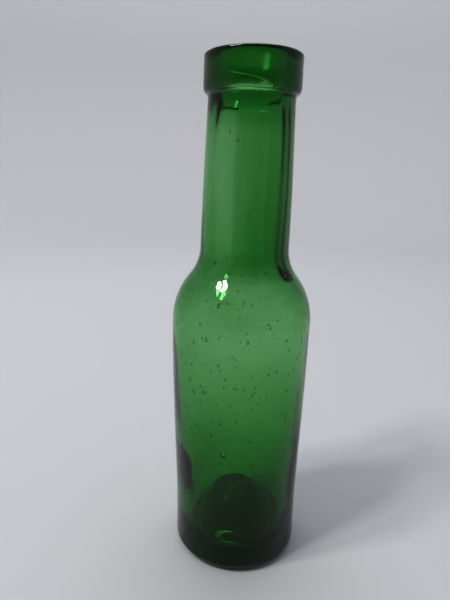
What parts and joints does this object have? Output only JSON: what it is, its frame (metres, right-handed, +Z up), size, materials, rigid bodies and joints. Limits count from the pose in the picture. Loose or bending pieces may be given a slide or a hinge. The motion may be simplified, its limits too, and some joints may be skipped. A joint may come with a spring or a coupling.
{
  "type": "bottle",
  "caption": "Tall hand-blown green glass bottle with a wide straight neck, a flat applied collar round the open mouth and a deep push-up in the base.",
  "frame": {"origin": "centre of the bearing ring, on the plane the bottle stands on", "axes": "+Z up along the body's axis to the mouth; the neck leans about 1 degree towards +X, and the crack-off inside the collar drops towards +X; -Y is the side seen from the front"},
  "size_m": [0.0507, 0.0506, 0.18],
  "materials": {
    "bottle_glass": "clear mid-green glass with seeds, fire-polished outside",
    "collar_glass": "clear green glass, darker because it is thicker, smooth tooled surface"
  },
  "bodies": {
    "root": {"blown_bottle": "bottle_glass", "applied_collar": "collar_glass"}
  },
  "joints": []
}
